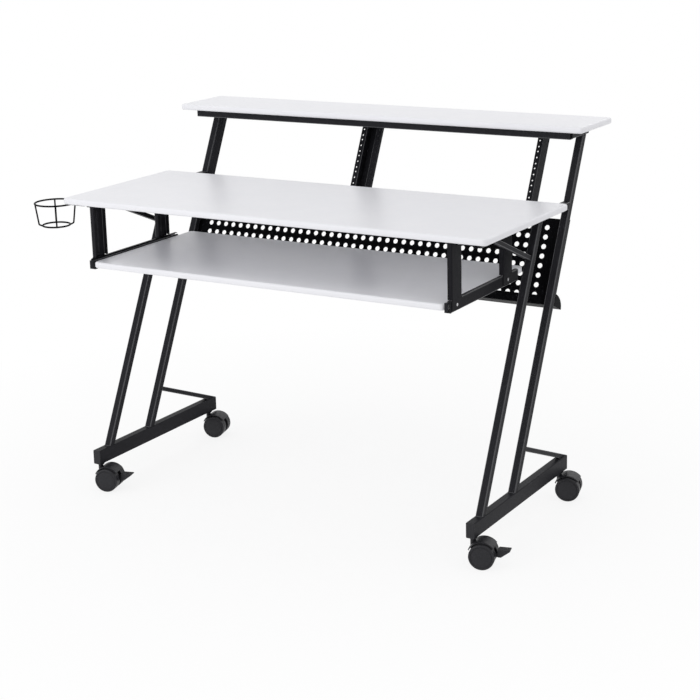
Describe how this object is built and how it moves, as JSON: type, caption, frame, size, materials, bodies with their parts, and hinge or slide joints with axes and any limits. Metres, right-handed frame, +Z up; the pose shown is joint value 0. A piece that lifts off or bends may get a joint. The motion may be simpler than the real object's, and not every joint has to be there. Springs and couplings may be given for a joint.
{
  "type": "studio desk",
  "caption": "Studio desk on casters: level desktop, raised shelf over two equipment bays, perforated back panel, sliding keyboard tray and cup holder.",
  "frame": {"origin": "bottom centre of the desk's bounding box, on the floor", "axes": "+X to the user's right along the desktop's width, +Y to the back, +Z up"},
  "size_m": [1.3382, 0.7412, 0.955],
  "materials": {
    "white_board": "white melamine, satin",
    "black_steel": "fine black powder coat",
    "black_plastic": "moulded, satin",
    "white_nylon": "moulded nylon"
  },
  "bodies": {
    "frame": {"desktop_board": "white_board", "shelf_board": "white_board", "shelf_bar": "black_steel", "cup_holder": "black_steel", "left_bay_outer_rail": "black_steel", "left_bay_middle_rail": "black_steel", "right_bay_middle_rail": "black_steel", "right_bay_outer_rail": "black_steel", "back_panel": "black_steel", "cable_tray": "black_steel", "left_base_tube": "black_steel", "left_front_leg": "black_steel", "left_rear_leg": "black_steel", "left_brace": "black_steel", "left_desktop_strut": "black_steel", "left_desktop_arm": "black_steel", "left_shelf_arm": "black_steel", "left_front_hanger": "black_steel", "left_rear_hanger": "black_steel", "left_fixed_runner": "black_steel", "left_front_caster_socket": "black_steel", "left_rear_caster_socket": "black_steel", "left_front_end_cap": "black_plastic", "left_rear_end_cap": "black_plastic", "right_base_tube": "black_steel", "right_front_leg": "black_steel", "right_rear_leg": "black_steel", "right_brace": "black_steel", "right_desktop_strut": "black_steel", "right_desktop_arm": "black_steel", "right_shelf_arm": "black_steel", "right_front_hanger": "black_steel", "right_rear_hanger": "black_steel", "right_fixed_runner": "black_steel", "right_front_caster_socket": "black_steel", "right_rear_caster_socket": "black_steel", "right_front_end_cap": "black_plastic", "right_rear_end_cap": "black_plastic"},
    "tray": {"tray_board": "white_board", "left_moving_slide": "black_steel", "right_moving_slide": "black_steel"},
    "left_front_caster": {"left_front_caster_housing": "black_plastic"},
    "left_front_near_wheel": {"left_front_near_wheel": "black_plastic"},
    "left_front_far_wheel": {"left_front_far_wheel": "black_plastic"},
    "left_front_brake_lever": {"left_front_brake_lever": "black_plastic"},
    "left_rear_caster": {"left_rear_caster_housing": "black_plastic"},
    "left_rear_near_wheel": {"left_rear_near_wheel": "black_plastic"},
    "left_rear_far_wheel": {"left_rear_far_wheel": "black_plastic"},
    "left_front_roller": {"left_front_roller": "white_nylon"},
    "left_rear_roller": {"left_rear_roller": "white_nylon"},
    "right_front_caster": {"right_front_caster_housing": "black_plastic"},
    "right_front_near_wheel": {"right_front_near_wheel": "black_plastic"},
    "right_front_far_wheel": {"right_front_far_wheel": "black_plastic"},
    "right_front_brake_lever": {"right_front_brake_lever": "black_plastic"},
    "right_rear_caster": {"right_rear_caster_housing": "black_plastic"},
    "right_rear_near_wheel": {"right_rear_near_wheel": "black_plastic"},
    "right_rear_far_wheel": {"right_rear_far_wheel": "black_plastic"},
    "right_front_roller": {"right_front_roller": "white_nylon"},
    "right_rear_roller": {"right_rear_roller": "white_nylon"}
  },
  "joints": [
    {"name": "tray_slide", "type": "slide", "parent": "frame", "child": "tray", "axis": [0, -1, 0], "range_m": [0, 0.28]},
    {"name": "left_front_swivel", "type": "hinge", "parent": "frame", "child": "left_front_caster", "pos_m": [-0.5198, -0.31538, 0.07], "axis": [0, 0, 1], "continuous": true},
    {"name": "left_front_near_wheel_spin", "type": "hinge", "parent": "left_front_caster", "child": "left_front_near_wheel", "pos_m": [-0.49602, -0.30909, 0.031], "axis": [-0.2554, 0.9668, 0], "continuous": true},
    {"name": "left_front_far_wheel_spin", "type": "hinge", "parent": "left_front_caster", "child": "left_front_far_wheel", "pos_m": [-0.49602, -0.30909, 0.031], "axis": [-0.2554, 0.9668, 0], "continuous": true},
    {"name": "left_front_brake_press", "type": "hinge", "parent": "left_front_caster", "child": "left_front_brake_lever", "pos_m": [-0.49602, -0.30909, 0.031], "axis": [-0.2554, 0.9668, 0], "range_deg": [0, 18]},
    {"name": "left_rear_swivel", "type": "hinge", "parent": "frame", "child": "left_rear_caster", "pos_m": [-0.5198, 0.17263, 0.07], "axis": [0, 0, 1], "continuous": true},
    {"name": "left_rear_near_wheel_spin", "type": "hinge", "parent": "left_rear_caster", "child": "left_rear_near_wheel", "pos_m": [-0.49602, 0.17891, 0.031], "axis": [-0.2554, 0.9668, 0], "continuous": true},
    {"name": "left_rear_far_wheel_spin", "type": "hinge", "parent": "left_rear_caster", "child": "left_rear_far_wheel", "pos_m": [-0.49602, 0.17891, 0.031], "axis": [-0.2554, 0.9668, 0], "continuous": true},
    {"name": "left_front_roller_spin", "type": "hinge", "parent": "frame", "child": "left_front_roller", "pos_m": [-0.4761, -0.33448, 0.6203], "axis": [1, 0, 0], "range_deg": [0, 1790]},
    {"name": "left_rear_roller_spin", "type": "hinge", "parent": "tray", "child": "left_rear_roller", "pos_m": [-0.4761, -0.00747, 0.6195], "axis": [1, 0, 0], "range_deg": [0, 1345]},
    {"name": "right_front_swivel", "type": "hinge", "parent": "frame", "child": "right_front_caster", "pos_m": [0.5802, -0.31538, 0.07], "axis": [0, 0, 1], "continuous": true},
    {"name": "right_front_near_wheel_spin", "type": "hinge", "parent": "right_front_caster", "child": "right_front_near_wheel", "pos_m": [0.60398, -0.30909, 0.031], "axis": [-0.2554, 0.9668, 0], "continuous": true},
    {"name": "right_front_far_wheel_spin", "type": "hinge", "parent": "right_front_caster", "child": "right_front_far_wheel", "pos_m": [0.60398, -0.30909, 0.031], "axis": [-0.2554, 0.9668, 0], "continuous": true},
    {"name": "right_front_brake_press", "type": "hinge", "parent": "right_front_caster", "child": "right_front_brake_lever", "pos_m": [0.60398, -0.30909, 0.031], "axis": [-0.2554, 0.9668, 0], "range_deg": [0, 18]},
    {"name": "right_rear_swivel", "type": "hinge", "parent": "frame", "child": "right_rear_caster", "pos_m": [0.5802, 0.17263, 0.07], "axis": [0, 0, 1], "continuous": true},
    {"name": "right_rear_near_wheel_spin", "type": "hinge", "parent": "right_rear_caster", "child": "right_rear_near_wheel", "pos_m": [0.60398, 0.17891, 0.031], "axis": [-0.2554, 0.9668, 0], "continuous": true},
    {"name": "right_rear_far_wheel_spin", "type": "hinge", "parent": "right_rear_caster", "child": "right_rear_far_wheel", "pos_m": [0.60398, 0.17891, 0.031], "axis": [-0.2554, 0.9668, 0], "continuous": true},
    {"name": "right_front_roller_spin", "type": "hinge", "parent": "frame", "child": "right_front_roller", "pos_m": [0.5365, -0.33448, 0.6203], "axis": [1, 0, 0], "range_deg": [0, 1790]},
    {"name": "right_rear_roller_spin", "type": "hinge", "parent": "tray", "child": "right_rear_roller", "pos_m": [0.5365, -0.00747, 0.6195], "axis": [1, 0, 0], "range_deg": [0, 1345]}
  ],
  "couplings": [
    {"joint": "left_front_roller_spin", "follows": "tray_slide", "rad_per_m": 111.11},
    {"joint": "left_rear_roller_spin", "follows": "tray_slide", "rad_per_m": 83.333},
    {"joint": "right_front_roller_spin", "follows": "tray_slide", "rad_per_m": 111.11},
    {"joint": "right_rear_roller_spin", "follows": "tray_slide", "rad_per_m": 83.333}
  ]
}
